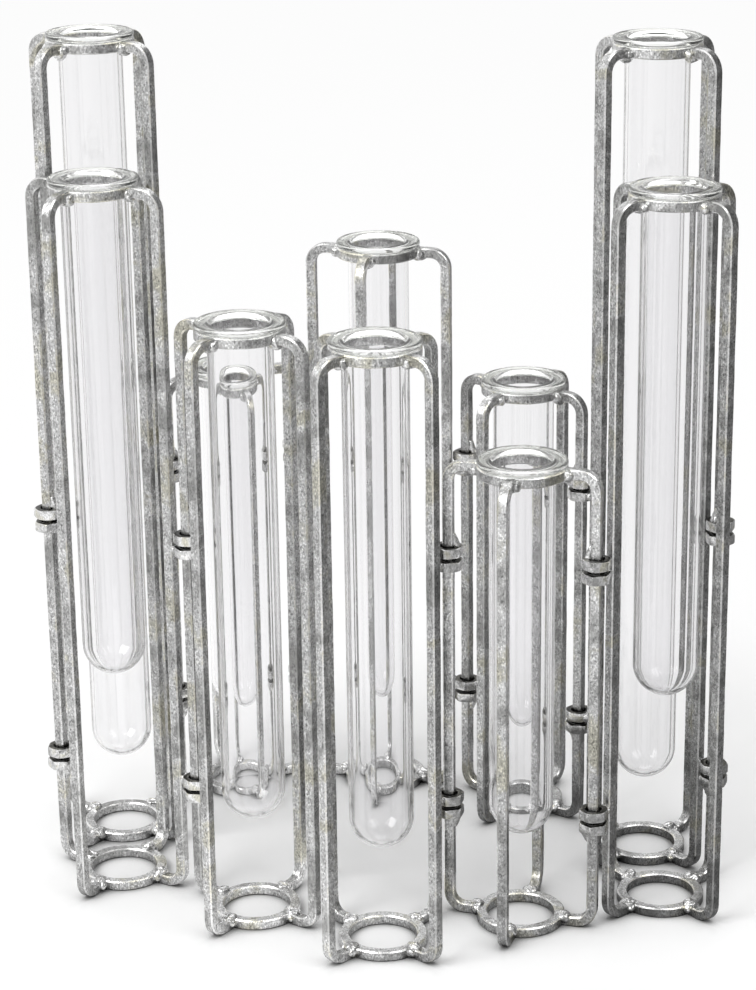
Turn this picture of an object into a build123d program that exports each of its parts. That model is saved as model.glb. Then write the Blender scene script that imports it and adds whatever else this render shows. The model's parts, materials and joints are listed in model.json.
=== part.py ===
"""A chain of ten wire cages, hinged to one another, each with a lipped glass test tube hanging in it.

Millimetres, +Z up. The floor is z = 0 and the origin is the middle of the footprint.
The chain is given curled into an oval, as it stands on a table.
"""

import os
from collections import namedtuple
from math import radians, tan

from build123d import *

os.makedirs("parts", exist_ok=True)

# Square bar, the stock of every ring and upright
BAR = 3.5
BEND_RADIUS = 5.5
ARM_REACH = 10.0

# Glass
TUBE_DIAMETER = 21.6
GLASS_WALL = 1.6
LIP_THICKNESS = 2.8
LIP_OVERHANG = 0.25
LIP_BEVEL = 0.8
MOUTH_FLARE = 2.0
TUBE_LENGTHS = {"short": 133.0, "medium": 175.0, "mid_tall": 175.0, "tall": 264.0}

# Height of each kind of cage, floor to the seat of the lip
CAGE_HEIGHTS = {"short": 163.0, "medium": 208.0, "mid_tall": 249.0, "tall": 290.0}

# Hinge nuts: the two heights at which a loop nut runs against its stop nut
UPPER_STOP = 129.0
LOWER_STOP = 40.0
NUT_WALL = 1.5
NUT_THICKNESS = 3.6
NECK_LENGTH = 1.2
NECK_WIDTH = 3.0
GUSSET_HEIGHT = 5.0

# Clearances
TUBE_CLEARANCE = 0.6
SEAT_GAP = 0.2
HINGE_CLEARANCE = 0.42
STOP_GAP = 0.8

# The chain in order: kind of cage, the way it points along the chain in degrees,
# and whether the next hinge's stop nuts are on this cage (or on the one after it)
Cage = namedtuple("Cage", "kind heading carries_stops")
CHAIN = (
    Cage("medium", 144, True),
    Cage("mid_tall", 150, True),
    Cage("tall", 54, False),
    Cage("short", 24, True),
    Cage("medium", -15, False),
    Cage("short", -38, True),
    Cage("tall", -48, False),
    Cage("mid_tall", -141, False),
    Cage("short", 163, True),
    Cage("medium", -136, True),
)
SPOKES = 4

# Flats of what is round: a multiple of the spokes, so that each arm meets a flat of its ring
SIDES = 20
HOLE_SIDES = 8
BEND_STEPS = 3

# Sizes that follow from those above
ring_inner = TUBE_DIAMETER / 2 + TUBE_CLEARANCE
ring_outer = ring_inner + BAR
spoke_radius = ring_outer + ARM_REACH
lip_radius = ring_outer + LIP_OVERHANG
bar_corner = BAR / 2 * 2**0.5
nut_hole = bar_corner + HINGE_CLEARANCE
nut_apothem = nut_hole + NUT_WALL
hinge_reach = nut_apothem + NECK_LENGTH + BAR / 2


def polar(radius, degrees):
    """A point in plan at this radius and angle."""
    return Vector(radius, 0, 0).rotate(Axis.Z, degrees)


def walk_chain():
    """Plan points of the cage axes and hinge axes, from the first cage on."""
    cage_axes = [Vector(0, 0, 0)]
    hinge_axes = []
    for cage, following in zip(CHAIN, CHAIN[1:]):
        to_hinge, from_hinge = spoke_radius, spoke_radius + hinge_reach
        if not cage.carries_stops:
            to_hinge, from_hinge = from_hinge, to_hinge
        hinge_axes.append(cage_axes[-1] + polar(to_hinge, cage.heading))
        cage_axes.append(hinge_axes[-1] + polar(from_hinge, following.heading))
    return cage_axes, hinge_axes


cage_axes, hinge_axes = walk_chain()

# The footprint of uprights and nuts, whose middle is the origin
with BuildSketch() as footprint:
    for cage, axis in zip(CHAIN, cage_axes):
        with Locations(axis):
            with PolarLocations(spoke_radius, SPOKES, start_angle=cage.heading):
                Rectangle(BAR, BAR)
    for cage, following, axis in zip(CHAIN, CHAIN[1:], hinge_axes):
        with Locations(axis):
            for heading in (cage.heading, following.heading):
                RegularPolygon(nut_apothem, 6, major_radius=False, rotation=heading)
middle = footprint.sketch.bounding_box().center()


def upright_plane(axis, degrees, height=0.0):
    """The standing plane through a vertical axis: x outwards at this angle, y up."""
    outwards = polar(1, degrees)
    origin = axis - middle + Vector(0, 0, height)
    return Plane(origin, x_dir=outwards, z_dir=outwards.cross(Vector(0, 0, 1)))


def level_plane(axis, degrees, height=0.0):
    """The level plane at this height on a vertical axis, x at this angle."""
    return Plane(axis - middle + Vector(0, 0, height), x_dir=polar(1, degrees), z_dir=(0, 0, 1))


def round_outline(radius, sides=SIDES, mode=Mode.ADD):
    """A round drawn as many flats, one of them square to x."""
    return RegularPolygon(radius, sides, major_radius=False, rotation=180 / sides, mode=mode)


def bar_side(height, radius):
    """One side of a bent bar, from the foot ring round two bends to the top ring."""
    reach = spoke_radius - BEND_RADIUS
    foot_bend = Vector(reach, BAR / 2 + BEND_RADIUS)
    top_bend = Vector(reach, height - BAR / 2 - BEND_RADIUS)
    turns = [step * 90 / BEND_STEPS for step in range(BEND_STEPS + 1)]
    bends = [foot_bend + polar(radius, turn - 90) for turn in turns]
    bends += [top_bend + polar(radius, turn) for turn in turns]
    return [(ring_outer, bends[0].Y), *bends, (ring_outer, bends[-1].Y)]


def make_uprights(cage, axis):
    """Four bars, each bent in at the top and the foot to butt on the rings."""
    height = CAGE_HEIGHTS[cage.kind]
    outside = bar_side(height, BEND_RADIUS + BAR / 2)
    inside = bar_side(height, BEND_RADIUS - BAR / 2)
    with BuildPart() as uprights:
        for spoke in range(SPOKES):
            with BuildSketch(upright_plane(axis, cage.heading + spoke * 360 / SPOKES)):
                with BuildLine():
                    Polyline(*outside, *reversed(inside), close=True)
                make_face()
            extrude(amount=BAR / 2, both=True)
    return uprights.part


def make_rings(cage, axis):
    """The ring that the lip sits on and the ring that stands on the floor."""
    with BuildPart() as rings:
        for height in (0, CAGE_HEIGHTS[cage.kind] - BAR):
            with BuildSketch(level_plane(axis, cage.heading, height)):
                round_outline(ring_outer)
                round_outline(ring_inner, mode=Mode.SUBTRACT)
            extrude(amount=BAR)
    return rings.part


def make_rod(radius, bottom, top, axis, heading):
    """A rod with a round foot, bevelled from a square section to eight sides and then to sixteen."""
    eight, sixteen = (radius * tan(radians(180 / sides)) for sides in (8, 16))
    with BuildPart() as rod:
        with BuildSketch(level_plane(axis, heading, bottom)):
            round_outline(radius)
        extrude(amount=top - bottom)
        chamfer(rod.edges().group_by(Axis.Z)[0], radius - eight)
        levels = rod.edges().group_by(Axis.Z)
        chamfer(levels[0] + levels[2], eight - sixteen)
    return rod.part


def make_tube(cage, axis):
    """A round-bottomed glass tube hanging by its lip."""
    outer = TUBE_DIAMETER / 2
    seat = CAGE_HEIGHTS[cage.kind] + SEAT_GAP
    top = seat + LIP_THICKNESS
    bottom = top - TUBE_LENGTHS[cage.kind]
    body = make_rod(outer, bottom, seat, axis, cage.heading)
    bore = make_rod(outer - GLASS_WALL, bottom + GLASS_WALL, top, axis, cage.heading)
    with BuildPart() as tube:
        with BuildSketch(level_plane(axis, cage.heading, seat)):
            round_outline(lip_radius)
        extrude(amount=LIP_THICKNESS)
        levels = tube.edges().group_by(Axis.Z)
        chamfer(levels[0] + levels[-1], LIP_BEVEL)
        add(body)
        add(bore, mode=Mode.SUBTRACT)
        mouth = tube.faces().sort_by(Axis.Z)[-1].inner_wires()
        chamfer(mouth.edges(), MOUTH_FLARE)
    return tube.part


def make_loop_nuts(carrier_heading, axis):
    """Two nuts that turn round a neighbour's upright, each on a neck to its own cage."""
    neck_end = nut_apothem + NECK_LENGTH
    with BuildPart() as nuts:
        for height in (UPPER_STOP - STOP_GAP / 2 - NUT_THICKNESS, LOWER_STOP + STOP_GAP / 2):
            with BuildSketch(level_plane(axis, carrier_heading, height)):
                RegularPolygon(nut_apothem, 6, major_radius=False)
                with Locations((neck_end / 2, 0)):
                    Rectangle(neck_end, NECK_WIDTH)
                round_outline(nut_hole, HOLE_SIDES, mode=Mode.SUBTRACT)
            extrude(amount=NUT_THICKNESS)
    return nuts.part


def make_stop_nuts(carrier_heading, axis):
    """Two nuts on an upright, each held by a gusset of weld on the bar's inner face."""
    face = BAR / 2
    with BuildPart() as nuts:
        for base, rise in ((UPPER_STOP + STOP_GAP / 2, 1), (LOWER_STOP - STOP_GAP / 2, -1)):
            with BuildSketch(level_plane(axis, carrier_heading, base)):
                RegularPolygon(nut_apothem, 6, major_radius=False)
                round_outline(nut_hole, HOLE_SIDES, mode=Mode.SUBTRACT)
            extrude(amount=rise * NUT_THICKNESS)
            far = rise * NUT_THICKNESS
            tip = rise * (NUT_THICKNESS + GUSSET_HEIGHT)
            with BuildSketch(upright_plane(axis, carrier_heading, base)):
                with BuildLine():
                    Polyline((face, 0), (nut_apothem, 0), (nut_apothem, far), (face, tip), close=True)
                make_face()
            extrude(amount=NECK_WIDTH / 2, both=True)
    return nuts.part


def write(part, name):
    """Label a piece and write it to its own file."""
    part.label = name
    export_step(part, f"parts/{name}.step")


for number, (cage, axis) in enumerate(zip(CHAIN, cage_axes), 1):
    write(make_uprights(cage, axis), f"cage_{number:02d}_uprights")
    write(make_rings(cage, axis), f"cage_{number:02d}_rings")
    write(make_tube(cage, axis), f"tube_{number:02d}")

for number, (cage, following, axis) in enumerate(zip(CHAIN, CHAIN[1:], hinge_axes), 1):
    inwards_on_first, inwards_on_second = cage.heading + 180, following.heading
    if cage.carries_stops:
        stop_heading, loop_heading = inwards_on_first, inwards_on_second
    else:
        stop_heading, loop_heading = inwards_on_second, inwards_on_first
    write(make_stop_nuts(stop_heading, axis), f"hinge_{number:02d}_stop_nuts")
    write(make_loop_nuts(loop_heading, axis), f"hinge_{number:02d}_loop_nuts")
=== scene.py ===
"""The looks of a chain of hinged wire cages with a glass test tube in each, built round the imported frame."""

import json
import math
import random

import bpy
from mathutils import Matrix, Vector


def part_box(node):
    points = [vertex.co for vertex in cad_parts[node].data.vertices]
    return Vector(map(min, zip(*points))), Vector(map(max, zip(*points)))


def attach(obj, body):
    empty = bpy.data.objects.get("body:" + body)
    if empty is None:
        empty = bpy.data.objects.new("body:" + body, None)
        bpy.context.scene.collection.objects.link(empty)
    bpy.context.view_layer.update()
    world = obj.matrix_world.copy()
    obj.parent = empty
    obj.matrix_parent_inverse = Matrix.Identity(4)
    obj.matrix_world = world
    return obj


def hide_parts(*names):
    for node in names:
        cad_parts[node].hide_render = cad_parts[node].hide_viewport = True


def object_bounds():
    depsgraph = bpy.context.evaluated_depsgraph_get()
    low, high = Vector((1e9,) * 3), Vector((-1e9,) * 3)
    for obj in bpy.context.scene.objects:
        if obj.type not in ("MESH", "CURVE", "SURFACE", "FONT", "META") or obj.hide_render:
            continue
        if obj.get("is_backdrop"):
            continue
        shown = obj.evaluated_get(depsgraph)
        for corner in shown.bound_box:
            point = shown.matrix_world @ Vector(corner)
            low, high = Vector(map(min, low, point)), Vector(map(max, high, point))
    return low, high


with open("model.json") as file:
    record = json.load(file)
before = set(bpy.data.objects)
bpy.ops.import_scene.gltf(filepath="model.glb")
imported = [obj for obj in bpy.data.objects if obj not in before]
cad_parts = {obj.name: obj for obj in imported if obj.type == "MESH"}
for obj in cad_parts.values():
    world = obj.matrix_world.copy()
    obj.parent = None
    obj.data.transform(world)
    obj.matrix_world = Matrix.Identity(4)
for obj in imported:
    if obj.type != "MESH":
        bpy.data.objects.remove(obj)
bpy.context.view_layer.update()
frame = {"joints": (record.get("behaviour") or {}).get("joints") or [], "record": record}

# Square bar and its edges, in metres like all sizes here
BAR = 0.0035
BEND_RADIUS = 0.0055
RING_OUTER = 0.0149
RING_MIDDLE = RING_OUTER - BAR / 2
UPRIGHT_RADIUS = 0.0249
EDGE_BREAK = 0.00042
HAMMER_SPREAD = 0.012
HAMMER_DEPTH = 0.00028

# Welds, beads as half lengths along, across and up
WELD_SINK = 0.0004
WELD_GRAIN = 0.0003
WELD_LUMP = 0.0026
CAGE_WELD_DEPTH = 0.001
HINGE_WELD_DEPTH = 0.0008
BEAD_WANDER = 0.0003
BEAD_SCALES = (0.8, 1.25)
CROWN_BEAD = (0.0026, 0.0023, 0.0015)
CHEEK_BEAD = (0.0018, 0.0013, 0.0016)
NECK_BEAD = (0.0015, 0.002, 0.0019)
CHEEK_SHIFT = 0.0006
NECK_SHIFT = 0.0007
GUSSET_HEIGHT = 0.005
GUSSET_WIDTH = 0.003
GUSSET_TIP = 0.0008
GUSSET_TAPER = 0.6
GUSSET_OVERLAP = 0.0004

# Glass
TUBE_OUTER = 0.0108
GLASS_WALL = 0.0012
SEAT_GAP = 0.0002
LIP_OUTER = 0.0149
LIP_THICKNESS = 0.0019
LIP_ROUND = 0.0006
LIP_CROWN = 0.0008
LIP_BEAD = 0.0014
LIP_DISH = 0.0003
MOUTH_ROUND = 0.0011
NECK_ROUND = 0.0002

# Nuts
NUT_HOLE = 0.00289
NUT_APOTHEM = 0.00439
NUT_THICKNESS = 0.0033
NUT_TRIM = 0.0003
NUT_CORNER = 0.00055
NUT_EDGE = 0.00016
STOP_GAP = 0.0014

# Floor and light
FLOOR_SIZE = 14.0
CONTACT_REACH = 0.015
LAMP_AIM = Vector((0, 0, 0.12))

# Finish of the meshes
BAR_STEP = 0.002
BEND_STEPS = 8
RING_STEPS = 72
GLASS_STEPS = 96
ARC_STEPS = 8
NUT_STEPS = 48
SAME_PLACE = 1e-6
SAME_LEVEL = 1e-7

CAGES = range(1, 11)
HINGES = range(1, 10)


# The layout, read from the frame

hinge_places = {}
hinge_hosts = {}
for joint in frame["joints"]:
    if joint["type"] == "hinge":
        hinge_places[int(joint["name"][-2:])] = Vector(joint["pos_m"]).xy
for body, nodes in frame["record"]["behaviour"]["bodies"].items():
    for node in nodes:
        if node.endswith("_nuts"):
            hinge_hosts[node] = body

cage_axes = {}
cage_heights = {}
cage_headings = {}
for number in CAGES:
    low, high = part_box(f"cage_{number:02d}_rings")
    cage_axes[number] = ((low + high) / 2).xy
    cage_heights[number] = high.z
for number in CAGES:
    if number in hinge_places:
        along = hinge_places[number] - cage_axes[number]
    else:
        along = cage_axes[number] - hinge_places[number - 1]
    cage_headings[number] = math.atan2(along.y, along.x)


# Modelling helpers

def clear_selection():
    """Object mode, with nothing selected."""
    if bpy.context.object and bpy.context.object.mode != "OBJECT":
        bpy.ops.object.mode_set(mode="OBJECT")
    bpy.ops.object.select_all(action="DESELECT")


def pick(piece):
    """Only this piece selected, and active."""
    clear_selection()
    piece.select_set(True)
    bpy.context.view_layer.objects.active = piece


def edit_all(piece):
    """Edit mode on this piece, with all of it selected."""
    pick(piece)
    bpy.ops.object.mode_set(mode="EDIT")
    bpy.ops.mesh.select_all(action="SELECT")


def edit_edges(piece, wanted):
    """Edit mode on this piece, with only those edges selected whose ends pass a test."""
    edit_all(piece)
    bpy.ops.mesh.select_mode(type="EDGE")
    bpy.ops.mesh.select_all(action="DESELECT")
    bpy.ops.object.mode_set(mode="OBJECT")
    for edge in piece.data.edges:
        edge.select = wanted(*(piece.data.vertices[i].co for i in edge.vertices))
    bpy.ops.object.mode_set(mode="EDIT")


def leave_edges():
    """Out of edit mode, with points as what is selected next time."""
    bpy.ops.mesh.select_mode(type="VERT")
    bpy.ops.object.mode_set(mode="OBJECT")


def pull(x=0.0, y=0.0, z=0.0):
    """Extrude what is selected by this much."""
    bpy.ops.mesh.extrude_region_move(TRANSFORM_OT_translate={"value": (x, y, z)})


def close_up(piece):
    """Merge doubles and turn the faces outwards, then leave edit mode."""
    bpy.ops.mesh.select_all(action="SELECT")
    bpy.ops.mesh.remove_doubles(threshold=SAME_PLACE)
    bpy.ops.mesh.normals_make_consistent(inside=False)
    bpy.ops.object.mode_set(mode="OBJECT")
    return piece


def apply_modifiers(piece):
    """Apply every modifier of this piece in order."""
    pick(piece)
    for modifier in list(piece.modifiers):
        bpy.ops.object.modifier_apply(modifier=modifier.name)


def copy_of(piece, name, matrix):
    """A copy with a mesh of its own, set in place in that mesh."""
    twin = piece.copy()
    twin.data = piece.data.copy()
    twin.name = name
    bpy.context.scene.collection.objects.link(twin)
    twin.data.transform(matrix)
    return twin


def join(pieces, name):
    """Several objects made one."""
    clear_selection()
    for piece in pieces:
        piece.select_set(True)
    bpy.context.view_layer.objects.active = pieces[0]
    bpy.ops.object.join()
    pieces[0].name = name
    pieces[0].data.name = name
    return pieces[0]


def smooth(piece, degrees):
    """Smooth shading across edges up to this angle."""
    pick(piece)
    bpy.ops.object.shade_smooth_by_angle(angle=math.radians(degrees))


def dress(piece, *materials):
    """These materials in the piece's slots, and no others."""
    piece.data.materials.clear()
    for material in materials:
        piece.data.materials.append(material)


def standing(axis, angle, height=0.0):
    """The matrix that stands a local shape on a vertical axis, its x at this angle."""
    return Matrix.Translation((axis.x, axis.y, height)) @ Matrix.Rotation(angle, 4, "Z")


def clouds(name, size):
    """A soft noise for uneven surfaces."""
    texture = bpy.data.textures.new(name, "CLOUDS")
    texture.noise_scale = size
    return texture


hammer_marks = clouds("hammer_marks", HAMMER_SPREAD)
weld_lumps = clouds("weld_lumps", WELD_LUMP)


def unevenness(piece, texture, depth):
    """Move the surface in and out by a little, as hand work leaves it."""
    displace = piece.modifiers.new("unevenness", "DISPLACE")
    displace.texture = texture
    displace.texture_coords = "GLOBAL"
    displace.strength = depth
    displace.mid_level = 0.5


# Shader helpers

def add(tree, kind, inputs=None, **settings):
    """A node with its settings and unlinked inputs."""
    node = tree.nodes.new(kind)
    for key, value in settings.items():
        setattr(node, key, value)
    for key, value in (inputs or {}).items():
        node.inputs[key].default_value = value
    return node


def new_group(name, inputs, outputs):
    """A shader node group with value inputs and outputs of the given kinds."""
    group = bpy.data.node_groups.new(name, "ShaderNodeTree")
    for label, default in inputs.items():
        socket = group.interface.new_socket(label, in_out="INPUT", socket_type="NodeSocketFloat")
        socket.default_value = default
    for label, kind in outputs.items():
        group.interface.new_socket(label, in_out="OUTPUT", socket_type=kind)
    return group, add(group, "NodeGroupInput"), add(group, "NodeGroupOutput")


def use_group(tree, group, **values):
    """A group placed in a material with its own values."""
    node = add(tree, "ShaderNodeGroup", node_tree=group)
    for label, value in values.items():
        node.inputs[label.replace("_", " ").capitalize()].default_value = value
    return node


def new_material(name):
    """An empty node material and its Principled shader."""
    material = bpy.data.materials.new(name)
    material.use_nodes = True
    tree = material.node_tree
    return material, tree, tree.nodes["Principled BSDF"]


def mask_ramp(tree, source, start, end):
    """A 0 to 1 mask that rises between two values of its source."""
    limits = {"From Min": start, "From Max": end}
    ramp = add(tree, "ShaderNodeMapRange", limits, interpolation_type="SMOOTHSTEP")
    tree.links.new(source, ramp.inputs["Value"])
    return ramp.outputs["Result"]


def mix_colours(tree, mask, under, over, blend="MIX"):
    """One colour over another by a mask. Either may be a colour or a socket."""
    mix = add(tree, "ShaderNodeMix", data_type="RGBA", blend_type=blend)
    tree.links.new(mask, mix.inputs["Factor"])
    for colour, socket in ((under, mix.inputs[6]), (over, mix.inputs[7])):
        if isinstance(colour, tuple):
            socket.default_value = (*colour, 1)
        else:
            tree.links.new(colour, socket)
    return mix.outputs[2]


def times(tree, one, other):
    """The product of two values."""
    product = add(tree, "ShaderNodeMath", operation="MULTIPLY")
    tree.links.new(one, product.inputs[0])
    tree.links.new(other, product.inputs[1])
    return product.outputs[0]


def make_spangle_group():
    """Zinc crystals, dark pits and bright flecks drawn out along the bar, with the bump they leave."""
    group, values, out = new_group(
        "zinc spangle",
        {"Crystal scale": 1250.0, "Speckle scale": 1700.0},
        {"Crystals": "NodeSocketFloat", "Pits": "NodeSocketFloat", "Flecks": "NodeSocketFloat",
         "Height": "NodeSocketFloat"},
    )
    place = add(group, "ShaderNodeTexCoord")
    drawn_out = add(group, "ShaderNodeMapping", {"Scale": (1.0, 1.0, 0.7)})
    group.links.new(place.outputs["Object"], drawn_out.inputs["Vector"])
    crystals = add(group, "ShaderNodeTexVoronoi")
    group.links.new(drawn_out.outputs["Vector"], crystals.inputs["Vector"])
    group.links.new(values.outputs["Crystal scale"], crystals.inputs["Scale"])
    grey = add(group, "ShaderNodeSeparateColor")
    group.links.new(crystals.outputs["Color"], grey.inputs["Color"])
    speckle = add(group, "ShaderNodeTexNoise", {"Detail": 3.0, "Roughness": 0.65})
    group.links.new(drawn_out.outputs["Vector"], speckle.inputs["Vector"])
    group.links.new(values.outputs["Speckle scale"], speckle.inputs["Scale"])
    group.links.new(grey.outputs["Red"], out.inputs["Crystals"])
    group.links.new(mask_ramp(group, speckle.outputs["Fac"], 0.44, 0.33), out.inputs["Pits"])
    group.links.new(mask_ramp(group, speckle.outputs["Fac"], 0.52, 0.63), out.inputs["Flecks"])
    group.links.new(speckle.outputs["Fac"], out.inputs["Height"])
    return group


def make_tarnish_group():
    """Broad stains that gather here and there along a bar."""
    group, values, out = new_group(
        "tarnish",
        {"Patch scale": 55.0, "Amount": 0.5},
        {"Stain": "NodeSocketFloat", "Cloud": "NodeSocketFloat"},
    )
    place = add(group, "ShaderNodeTexCoord")
    patches = add(group, "ShaderNodeTexNoise", {"Detail": 6.0, "Roughness": 0.62, "Distortion": 0.4})
    group.links.new(place.outputs["Object"], patches.inputs["Vector"])
    group.links.new(values.outputs["Patch scale"], patches.inputs["Scale"])
    edge = add(group, "ShaderNodeMath", operation="SUBTRACT", inputs={0: 0.95})
    group.links.new(values.outputs["Amount"], edge.inputs[1])
    low = add(group, "ShaderNodeMath", operation="SUBTRACT", inputs={1: 0.12})
    group.links.new(edge.outputs[0], low.inputs[0])
    stain = add(group, "ShaderNodeMapRange", interpolation_type="SMOOTHSTEP")
    group.links.new(patches.outputs["Fac"], stain.inputs["Value"])
    group.links.new(low.outputs[0], stain.inputs["From Min"])
    group.links.new(edge.outputs[0], stain.inputs["From Max"])
    group.links.new(stain.outputs["Result"], out.inputs["Stain"])
    group.links.new(patches.outputs["Fac"], out.inputs["Cloud"])
    return group


spangle_group = make_spangle_group()
tarnish_group = make_tarnish_group()


def metal_material(name, greys, roughness, stain=0.3, patch_scale=55.0, bump=0.5):
    """Zinc or steel in four greys, for pits, dark crystals, light crystals and flecks, with olive stains."""
    material, tree, shader = new_material(name)
    pit, dark, light, fleck = [(grey, grey, grey) for grey in greys]
    spangle = use_group(tree, spangle_group)
    tarnish = use_group(tree, tarnish_group, amount=stain, patch_scale=patch_scale)
    crystals = mix_colours(tree, spangle.outputs["Crystals"], dark, light)
    shade = mask_ramp(tree, tarnish.outputs["Cloud"], 0.56, 0.36)
    bright = mask_ramp(tree, tarnish.outputs["Cloud"], 0.32, 0.54)
    pitted = mix_colours(tree, spangle.outputs["Pits"], crystals, pit)
    flecked = mix_colours(tree, times(tree, spangle.outputs["Flecks"], bright), pitted, fleck)
    clouded = mix_colours(tree, shade, flecked, (0.6, 0.6, 0.59), "MULTIPLY")
    stained = mix_colours(tree, tarnish.outputs["Stain"], clouded, (0.8, 0.78, 0.68), "MULTIPLY")
    tree.links.new(stained, shader.inputs["Base Color"])
    rough = add(tree, "ShaderNodeMapRange", {"To Min": roughness - 0.12, "To Max": roughness + 0.16})
    tree.links.new(tarnish.outputs["Cloud"], rough.inputs["Value"])
    tree.links.new(rough.outputs["Result"], shader.inputs["Roughness"])
    shader.inputs["Metallic"].default_value = 1.0
    relief = add(tree, "ShaderNodeBump", {"Strength": bump, "Distance": 0.0002})
    tree.links.new(spangle.outputs["Height"], relief.inputs["Height"])
    tree.links.new(relief.outputs["Normal"], shader.inputs["Normal"])
    return material


aged_zinc = metal_material("aged_zinc", (0.18, 0.45, 0.68, 1.0), 0.26, bump=0.55)
# lighter zinc for the bevel faces: partly worn metal, partly a painted highlight along the edges
worn_edge_and_painted_highlight = metal_material("worn_edge_and_painted_highlight", (0.6, 0.9, 1.0, 1.0), 0.2, stain=0.34, bump=0.3)
nut_steel = metal_material(
    "nut_steel", (0.5, 0.68, 0.82, 0.95), 0.2, stain=0.32, patch_scale=140.0, bump=0.12)
# near-black steel for the nut ends and the hole wall: painted shade for the dark gap between the nuts and the
# shadowed hole
nut_painted_shade = metal_material(
    "nut_painted_shade", (0.03, 0.07, 0.14, 0.3), 0.35, stain=0.45, patch_scale=200.0, bump=0.2)
weld_metal = metal_material(
    "weld_metal", (0.4, 0.62, 0.8, 0.95), 0.15, stain=0.28, patch_scale=260.0, bump=0.1)


def glass_material(name, colour, clear, smear, smear_scale):
    """Clear glass with faint smears, or the milky glass of a lip that was melted round."""
    material, tree, shader = new_material(name)
    shader.inputs["Base Color"].default_value = (*colour, 1)
    shader.inputs["Transmission Weight"].default_value = clear
    shader.inputs["IOR"].default_value = 1.47
    place = add(tree, "ShaderNodeTexCoord")
    smears = add(tree, "ShaderNodeTexNoise", {"Scale": smear_scale, "Detail": 4.0})
    tree.links.new(place.outputs["Object"], smears.inputs["Vector"])
    haze = add(tree, "ShaderNodeMapRange", {"From Min": 0.4, "From Max": 0.8, "To Max": smear})
    tree.links.new(smears.outputs["Fac"], haze.inputs["Value"])
    tree.links.new(haze.outputs["Result"], shader.inputs["Roughness"])
    return material


tube_glass = glass_material("tube_glass", (0.965, 0.963, 0.968), 1.0, 0.012, 45.0)
lip_glass = glass_material("lip_glass", (0.96, 0.97, 0.94), 0.92, 0.1, 260.0)


# Cages

def make_bar(height):
    """One upright of square bar: out from the foot ring, up, and back in to the top ring."""
    level = height - BAR / 2
    inner_end = RING_OUTER - WELD_SINK
    arm = UPRIGHT_RADIUS - BEND_RADIUS - inner_end
    clear_selection()
    bpy.ops.mesh.primitive_plane_add(
        size=BAR, location=(inner_end, 0, BAR / 2), rotation=(0, math.pi / 2, 0))
    bar = bpy.context.object
    bpy.ops.object.transform_apply(location=True, rotation=True, scale=True)
    edit_all(bar)
    pull(x=arm)
    bend = {"steps": BEND_STEPS, "angle": math.pi / 2, "axis": (0, 1, 0)}
    bpy.ops.mesh.spin(center=(UPRIGHT_RADIUS - BEND_RADIUS, 0, BAR / 2 + BEND_RADIUS), **bend)
    pull(z=level - BAR / 2 - 2 * BEND_RADIUS)
    bpy.ops.mesh.spin(center=(UPRIGHT_RADIUS - BEND_RADIUS, 0, level - BEND_RADIUS), **bend)
    pull(x=-arm)
    close_up(bar)
    edit_edges(bar, lambda one, other: abs(one.z - other.z) > 10 * BAR)
    bpy.ops.mesh.subdivide(number_cuts=int(height / BAR_STEP))
    leave_edges()
    return bar


def make_ring():
    """A ring of square bar standing on the floor, on the z axis."""
    clear_selection()
    bpy.ops.mesh.primitive_plane_add(
        size=BAR, location=(RING_MIDDLE, 0, BAR / 2), rotation=(math.pi / 2, 0, 0))
    ring = bpy.context.object
    bpy.ops.object.transform_apply(location=True, rotation=True, scale=True)
    edit_all(ring)
    bpy.ops.mesh.delete(type="ONLY_FACE")
    bpy.ops.mesh.select_all(action="SELECT")
    bpy.ops.mesh.spin(steps=RING_STEPS, angle=2 * math.pi, center=(0, 0, 0), axis=(0, 0, 1))
    return close_up(ring)


def finish_bar_work(piece):
    """Break the edges, which are brighter partly from wear and partly as a painted highlight, and leave the
    faces a little uneven.
    """
    dress(piece, aged_zinc, worn_edge_and_painted_highlight)
    bevel = piece.modifiers.new("worn edges with painted highlight", "BEVEL")
    bevel.width = EDGE_BREAK
    bevel.segments = 1
    bevel.limit_method = "ANGLE"
    bevel.angle_limit = math.radians(50)
    # the bevel faces take the lighter edge material, partly wear and partly painted highlight
    bevel.material = 1
    unevenness(piece, hammer_marks, HAMMER_DEPTH)
    apply_modifiers(piece)
    smooth(piece, 40)


def make_bead(centre, radii, matrix, dice):
    """One bead of weld: a ball pressed out of round, its size and place a little left to chance."""
    clear_selection()
    bpy.ops.mesh.primitive_ico_sphere_add(subdivisions=2, radius=1.0)
    bead = bpy.context.object
    sizes = [radius * dice.uniform(*BEAD_SCALES) for radius in radii]
    place = Vector(centre) + Vector([dice.uniform(-1, 1) * BEAD_WANDER for _ in range(3)])
    bead.data.transform(matrix @ Matrix.Translation(place) @ Matrix.Diagonal((*sizes, 1)))
    return bead


def finish_weld(piece, depth):
    """The beads melted into one skin, with lumps and bright metal."""
    dress(piece, weld_metal)
    melt = piece.modifiers.new("melted", "REMESH")
    melt.mode = "VOXEL"
    melt.voxel_size = WELD_GRAIN
    unevenness(piece, weld_lumps, depth)
    apply_modifiers(piece)
    smooth(piece, 60)


def make_cage_welds(number):
    """The welds where four arms meet the two rings: a crown on the free side and a cheek on each flank."""
    dice = random.Random(number)
    beads = []
    for height, free_side in ((BAR / 2, 1), (cage_heights[number] - BAR / 2, -1)):
        crown = (RING_OUTER, 0, free_side * BAR * 0.5)
        for spoke in range(4):
            matrix = standing(cage_axes[number], cage_headings[number] + spoke * math.pi / 2, height)
            beads.append(make_bead(crown, CROWN_BEAD, matrix, dice))
            for flank in (-1, 1):
                cheek = (RING_OUTER + CHEEK_SHIFT, flank * BAR * 0.55, free_side * CHEEK_SHIFT)
                beads.append(make_bead(cheek, CHEEK_BEAD, matrix, dice))
    weld = join(beads, f"welds_{number:02d}")
    finish_weld(weld, CAGE_WELD_DEPTH)
    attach(weld, f"cage_{number:02d}")


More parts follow.
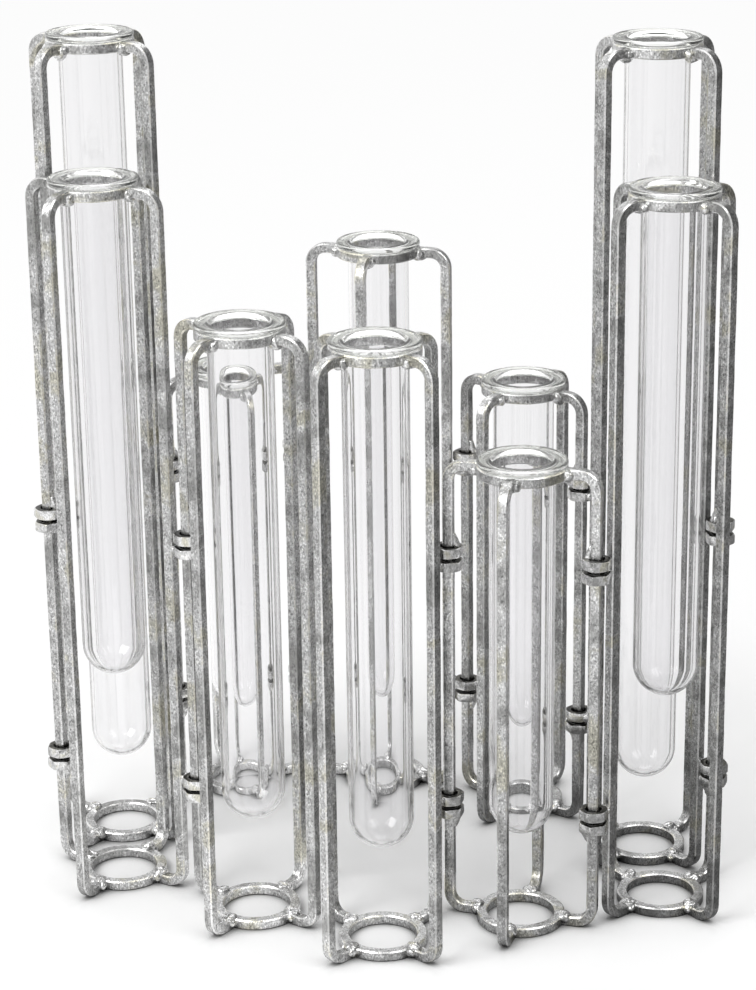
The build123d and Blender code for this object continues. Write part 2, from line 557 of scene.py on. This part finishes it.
ring_shape = make_ring()
bar_shapes = {}
for number in CAGES:
    height = cage_heights[number]
    key = round(height, 4)
    if key not in bar_shapes:
        bar_shapes[key] = make_bar(height)
    body = f"cage_{number:02d}"
    axis, heading = cage_axes[number], cage_headings[number]
    turns = [heading + spoke * math.pi / 2 for spoke in range(4)]
    bars = join(
        [copy_of(bar_shapes[key], "bar", standing(axis, turn)) for turn in turns], f"bars_{number:02d}")
    finish_bar_work(bars)
    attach(bars, body)
    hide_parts(f"cage_{number:02d}_uprights")
    rings = join(
        [copy_of(ring_shape, "ring", standing(axis, heading, base)) for base in (0, height - BAR)],
        f"rings_{number:02d}")
    finish_bar_work(rings)
    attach(rings, body)
    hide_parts(f"cage_{number:02d}_rings")
    make_cage_welds(number)
for shape in (ring_shape, *bar_shapes.values()):
    bpy.data.objects.remove(shape)


# Glass tubes

def arc(centre, radius, start, end, steps):
    """Points of a round stretch of profile, angles in degrees."""
    angles = [math.radians(start + (end - start) * step / steps) for step in range(steps + 1)]
    return [(centre[0] + radius * math.cos(a), centre[1] + radius * math.sin(a)) for a in angles]


def tube_profile(bottom, seat):
    """Half section of a tube: outside from the lowest point up, round the lip, and down the bore."""
    inner = TUBE_OUTER - GLASS_WALL
    shoulder = bottom + TUBE_OUTER
    top = seat + LIP_THICKNESS
    outside = arc((0, shoulder), TUBE_OUTER, -90, 0, 2 * ARC_STEPS)
    under_lip = arc((TUBE_OUTER + NECK_ROUND, seat - NECK_ROUND), NECK_ROUND, 180, 90, 4)
    lip_foot = arc((LIP_OUTER - LIP_ROUND, seat + LIP_ROUND), LIP_ROUND, -90, 0, 5)
    lip_bead = arc((LIP_OUTER - LIP_CROWN, top - LIP_CROWN), LIP_CROWN, 0, 125, 8)
    dish = [(reach, top - LIP_DISH) for reach in (LIP_OUTER - LIP_BEAD, inner + 2 * MOUTH_ROUND)]
    mouth_edge = arc((inner + MOUTH_ROUND, top - LIP_DISH / 2 - MOUTH_ROUND), MOUTH_ROUND, 75, 180, 7)
    bore = arc((0, shoulder), inner, 0, -90, 2 * ARC_STEPS)
    return outside + under_lip + lip_foot + lip_bead + dish + mouth_edge + bore


def make_tube(number):
    """One glass tube, its profile drawn point by point and spun."""
    low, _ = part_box(f"tube_{number:02d}")
    profile = tube_profile(low.z, cage_heights[number] + SEAT_GAP)
    clear_selection()
    bpy.ops.mesh.primitive_plane_add(size=0.001)
    tube = bpy.context.object
    edit_all(tube)
    bpy.ops.mesh.merge(type="CENTER")
    bpy.ops.transform.translate(value=(profile[0][0], 0, profile[0][1]))
    for here, there in zip(profile, profile[1:]):
        step = (there[0] - here[0], 0, there[1] - here[1])
        bpy.ops.mesh.extrude_vertices_move(TRANSFORM_OT_translate={"value": step})
    bpy.ops.mesh.select_all(action="SELECT")
    bpy.ops.mesh.spin(steps=GLASS_STEPS, angle=2 * math.pi, center=(0, 0, 0), axis=(0, 0, 1))
    close_up(tube)
    tube.name = f"glass_{number:02d}"
    dress(tube, tube_glass, lip_glass)
    for face in tube.data.polygons:
        on_lip = face.center.z > cage_heights[number] and face.center.xy.length > TUBE_OUTER
        face.material_index = int(on_lip)
    tube.data.transform(standing(cage_axes[number], 0))
    smooth(tube, 60)
    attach(tube, f"tube_{number:02d}")
    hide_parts(f"tube_{number:02d}")


for number in CAGES:
    make_tube(number)


# Hinge nuts

def nut_blank(vertices, radius, depth):
    """A cylinder round the z axis, halfway up a nut."""
    clear_selection()
    bpy.ops.mesh.primitive_cylinder_add(
        vertices=vertices, radius=radius, depth=depth, location=(0, 0, NUT_THICKNESS / 2))
    bpy.ops.object.transform_apply(location=True, rotation=True, scale=True)
    return bpy.context.object


def make_nut():
    """A hexagon nut on z = 0, flats square to x, corners turned off, with painted shade that makes it dark in
    the hole and on the ends.
    """
    corner = NUT_APOTHEM / math.cos(math.pi / 6)
    drill = nut_blank(NUT_STEPS, NUT_HOLE, 4 * NUT_THICKNESS)
    turned = nut_blank(NUT_STEPS, corner, NUT_THICKNESS)
    edit_edges(turned, lambda one, other: abs(one.z - other.z) < SAME_LEVEL)
    bpy.ops.mesh.bevel(offset=NUT_CORNER, segments=2)
    leave_edges()
    nut = nut_blank(6, corner, NUT_THICKNESS)
    for cutter, operation in ((turned, "INTERSECT"), (drill, "DIFFERENCE")):
        cut = nut.modifiers.new(operation.lower(), "BOOLEAN")
        cut.operation = operation
        cut.object = cutter
        cut.solver = "EXACT"
    edges = nut.modifiers.new("soft edges", "BEVEL")
    edges.width = NUT_EDGE
    edges.segments = 2
    edges.limit_method = "ANGLE"
    edges.angle_limit = math.radians(35)
    apply_modifiers(nut)
    bpy.data.objects.remove(turned)
    bpy.data.objects.remove(drill)
    dress(nut, nut_steel, nut_painted_shade)
    # the end faces and the hole wall take the near-black material as painted shade
    for face in nut.data.polygons:
        on_end = abs(face.normal.z) > 0.95
        in_hole = face.center.xy.length < NUT_HOLE
        face.material_index = int(on_end or in_hole)
    return nut


def finish_nuts(nuts, node):
    """A pair of nuts that stands for its node."""
    smooth(nuts, 35)
    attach(nuts, hinge_hosts[node])
    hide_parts(node)


def make_gusset(matrix, rise):
    """A wedge of weld on the bar's inner face, from the nut's edge to a tip on the bar."""
    root = BAR / 2 - WELD_SINK
    reach = NUT_APOTHEM - root
    clear_selection()
    bpy.ops.mesh.primitive_cube_add(
        size=1.0, location=(root + reach / 2, 0, rise * GUSSET_HEIGHT / 2),
        scale=(reach, GUSSET_WIDTH, GUSSET_HEIGHT))
    wedge = bpy.context.object
    bpy.ops.object.transform_apply(location=True, rotation=True, scale=True)
    for vertex in wedge.data.vertices:
        vertex.select = abs(vertex.co.z) > GUSSET_HEIGHT / 2
    for line in (*wedge.data.edges, *wedge.data.polygons):
        line.select = False
    bpy.ops.object.mode_set(mode="EDIT")
    bpy.ops.transform.resize(
        value=(GUSSET_TIP / reach, GUSSET_TAPER, 1), center_override=(root, 0, rise * GUSSET_HEIGHT))
    bpy.ops.mesh.select_all(action="SELECT")
    bpy.ops.mesh.subdivide(number_cuts=3)
    bpy.ops.mesh.vertices_smooth(factor=0.5, repeat=2)
    close_up(wedge)
    wedge.data.transform(matrix)
    return wedge


nut_shape = make_nut()
for number in HINGES:
    axis = hinge_places[number]
    dice = random.Random(number)
    for kind in ("stop", "loop"):
        node = f"hinge_{number:02d}_{kind}_nuts"
        body = hinge_hosts[node]
        own_axis = cage_axes[int(body[-2:])]
        inwards = math.atan2(own_axis.y - axis.y, own_axis.x - axis.x)
        loop_low, loop_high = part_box(f"hinge_{number:02d}_loop_nuts")
        lower_run, upper_run = loop_low.z + NUT_TRIM, loop_high.z - NUT_TRIM
        bases = (lower_run, upper_run - NUT_THICKNESS)
        if kind == "stop":
            bases = (lower_run - STOP_GAP - NUT_THICKNESS, upper_run + STOP_GAP)
        nuts = join([copy_of(nut_shape, "nut", standing(axis, inwards, base)) for base in bases],
                    f"{kind}_nuts_{number:02d}")
        finish_nuts(nuts, node)
        if kind == "loop":
            neck = (NUT_APOTHEM + NECK_SHIFT, 0, 0)
            beads = [make_bead(neck, NECK_BEAD, standing(axis, inwards, base + NUT_THICKNESS / 2), dice)
                     for base in bases]
        else:
            top = bases[1] + NUT_THICKNESS
            beads = [make_gusset(standing(axis, inwards, bases[0] + GUSSET_OVERLAP), -1),
                     make_gusset(standing(axis, inwards, top - GUSSET_OVERLAP), 1)]
        welds = join(beads, f"{kind}_welds_{number:02d}")
        finish_weld(welds, HINGE_WELD_DEPTH)
        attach(welds, body)
bpy.data.objects.remove(nut_shape)


# Floor, light and camera

def make_studio_group():
    """How bright the room is in each direction: lit from the left and above, dim to the right."""
    group = bpy.data.node_groups.new("studio", "ShaderNodeTree")
    group.interface.new_socket("Direction", in_out="INPUT", socket_type="NodeSocketVector")
    group.interface.new_socket("Level", in_out="OUTPUT", socket_type="NodeSocketFloat")
    entry, out = add(group, "NodeGroupInput"), add(group, "NodeGroupOutput")
    unit = add(group, "ShaderNodeVectorMath", operation="NORMALIZE")
    group.links.new(entry.outputs["Direction"], unit.inputs[0])
    axes = add(group, "ShaderNodeSeparateXYZ")
    group.links.new(unit.outputs["Vector"], axes.inputs[0])
    total = None
    shade = 0.18
    panels = (
        ("X", 0.35, -0.6, 0.78), ("Y", 0.3, 0.95, 0.2), ("Y", -0.4, -0.9, 0.35), ("Z", 0.65, 0.95, 0.38))
    for side, start, end, level in panels:
        panel = add(group, "ShaderNodeMath", operation="MULTIPLY_ADD", inputs={1: level, 2: shade})
        group.links.new(mask_ramp(group, axes.outputs[side], start, end), panel.inputs[0])
        if total:
            group.links.new(total, panel.inputs[2])
        total = panel.outputs[0]
    group.links.new(total, out.inputs["Level"])
    return group


def either(tree, *sockets):
    """The greatest of several values."""
    result = sockets[0]
    for socket in sockets[1:]:
        greater = add(tree, "ShaderNodeMath", operation="MAXIMUM")
        tree.links.new(result, greater.inputs[0])
        tree.links.new(socket, greater.inputs[1])
        result = greater.outputs[0]
    return result


def blend_values(tree, mask, under, over):
    """One value over another by a mask. Either may be a number or a socket."""
    mix = add(tree, "ShaderNodeMix")
    tree.links.new(mask, mix.inputs["Factor"])
    for value, socket in ((under, mix.inputs["A"]), (over, mix.inputs["B"])):
        if isinstance(value, float):
            socket.default_value = value
        else:
            tree.links.new(value, socket)
    return mix.outputs["Result"]


def mirror_only(tree, path):
    """1 for a ray that left a mirror, not one that came through glass."""
    mask = add(tree, "ShaderNodeMath", operation="GREATER_THAN", inputs={1: 0.5})
    left = add(tree, "ShaderNodeMath", operation="SUBTRACT")
    tree.links.new(path.outputs["Is Glossy Ray"], left.inputs[0])
    tree.links.new(path.outputs["Is Transmission Ray"], left.inputs[1])
    tree.links.new(left.outputs[0], mask.inputs[0])
    return mask.outputs[0]


def seen_level(tree, path, room, lit):
    """White to the camera, the room's own level in a mirror, nearly white through glass, and else as lit."""
    seen = blend_values(tree, path.outputs["Is Camera Ray"], lit, 1.0)
    mirrored = blend_values(tree, path.outputs["Is Glossy Ray"], seen, room.outputs["Level"])
    softened = add(tree, "ShaderNodeMapRange", {"To Min": 0.95, "To Max": 1.0})
    tree.links.new(room.outputs["Level"], softened.inputs["Value"])
    return blend_values(tree, path.outputs["Is Transmission Ray"], mirrored, softened.outputs["Result"])


def make_floor(studio):
    """A white floor that keeps the shadows, darker close to what stands on it from a painted contact shadow,
    and lighter far off.
    """
    near_glow, far_glow, mirror_glow = 0.15, 0.92, 0.95
    painted_shadow_grey, in_the_open = (0.4, 0.4, 0.4), (0.95, 0.95, 0.95)
    clear_selection()
    bpy.ops.mesh.primitive_plane_add(size=FLOOR_SIZE)
    floor = bpy.context.object
    floor.name = "floor"
    material, tree, shader = new_material("white_floor")
    shader.inputs["Roughness"].default_value = 0.9
    shader.inputs["Specular IOR Level"].default_value = 0.0
    place = add(tree, "ShaderNodeTexCoord")
    room = add(tree, "ShaderNodeGroup", node_tree=studio)
    tree.links.new(place.outputs["Object"], room.inputs["Direction"])
    path = add(tree, "ShaderNodeLightPath")
    # painted contact shadow: an occlusion mask turns the floor's colour dark grey and dims its glow wherever
    # something stands close
    crevice = add(tree, "ShaderNodeAmbientOcclusion", {"Distance": CONTACT_REACH}, samples=8)
    open_floor = mask_ramp(tree, crevice.outputs["AO"], 0.3, 0.95)
    colour = mix_colours(tree, open_floor, painted_shadow_grey, in_the_open)
    tree.links.new(colour, shader.inputs["Base Color"])
    glow = add(tree, "ShaderNodeEmission")
    tree.links.new(times(tree, seen_level(tree, path, room, 1.0), open_floor), glow.inputs["Strength"])
    rays = ("Is Camera Ray", "Is Glossy Ray", "Is Transmission Ray")
    seen = either(tree, *(path.outputs[ray] for ray in rays))
    mix = add(tree, "ShaderNodeMixShader")
    distance = add(tree, "ShaderNodeVectorMath", operation="LENGTH")
    tree.links.new(place.outputs["Object"], distance.inputs[0])
    far_off = mask_ramp(tree, distance.outputs["Value"], 0.12, 0.4)
    glow_to_camera = blend_values(tree, far_off, near_glow, far_glow)
    share = blend_values(tree, mirror_only(tree, path), glow_to_camera, mirror_glow)
    tree.links.new(blend_values(tree, seen, 0.0, share), mix.inputs[0])
    tree.links.new(shader.outputs[0], mix.inputs[1])
    tree.links.new(glow.outputs[0], mix.inputs[2])
    tree.links.new(mix.outputs[0], tree.nodes["Material Output"].inputs["Surface"])
    floor.data.materials.append(material)
    floor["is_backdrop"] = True


def make_world(studio):
    """White to the camera and through glass, and a room with bright and dim sides to what reflects it."""
    world = bpy.data.worlds.new("studio")
    bpy.context.scene.world = world
    world.use_nodes = True
    tree = world.node_tree
    path = add(tree, "ShaderNodeLightPath")
    place = add(tree, "ShaderNodeTexCoord")
    room = add(tree, "ShaderNodeGroup", node_tree=studio)
    tree.links.new(place.outputs["Generated"], room.inputs["Direction"])
    background = tree.nodes["Background"]
    background.inputs["Color"].default_value = (1, 1, 1, 1)
    tree.links.new(seen_level(tree, path, room, 0.65), background.inputs["Strength"])


def make_lamp(name, place, size, power):
    """A soft box that faces the middle of the object."""
    data = bpy.data.lights.new(name, "AREA")
    data.size = size
    data.energy = power
    lamp = bpy.data.objects.new(name, data)
    bpy.context.scene.collection.objects.link(lamp)
    lamp.location = place
    towards = LAMP_AIM - Vector(place)
    lamp.rotation_euler = towards.to_track_quat("-Z", "Y").to_euler()


def make_camera():
    """The photograph's view: a long lens a little above, looking down."""
    image_height = 990
    focal_pixels = 2762.7
    place = Vector((-0.00175, -0.89928, 0.44228))
    pitch, roll, yaw = math.radians(18.856), math.radians(-0.8), math.radians(-0.0625)
    data = bpy.data.cameras.new("camera")
    data.lens = focal_pixels / image_height * data.sensor_width
    camera = bpy.data.objects.new("camera", data)
    bpy.context.scene.collection.objects.link(camera)
    camera.matrix_world = (
        Matrix.Translation(place) @ Matrix.Rotation(yaw, 4, "Z")
        @ Matrix.Rotation(math.pi / 2 - pitch, 4, "X") @ Matrix.Rotation(roll, 4, "Z"))
    bpy.context.scene.camera = camera


studio = make_studio_group()
make_floor(studio)
make_world(studio)
make_lamp("key_box", (-0.8, -0.6, 1.0), 0.8, 11.0)
make_lamp("fill_box", (0.7, -0.6, 1.1), 0.8, 4.0)
make_lamp("back_box", (0.1, 0.9, 1.0), 0.7, 2.0)
make_camera()
bpy.context.scene.view_settings.view_transform = "Standard"

low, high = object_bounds()
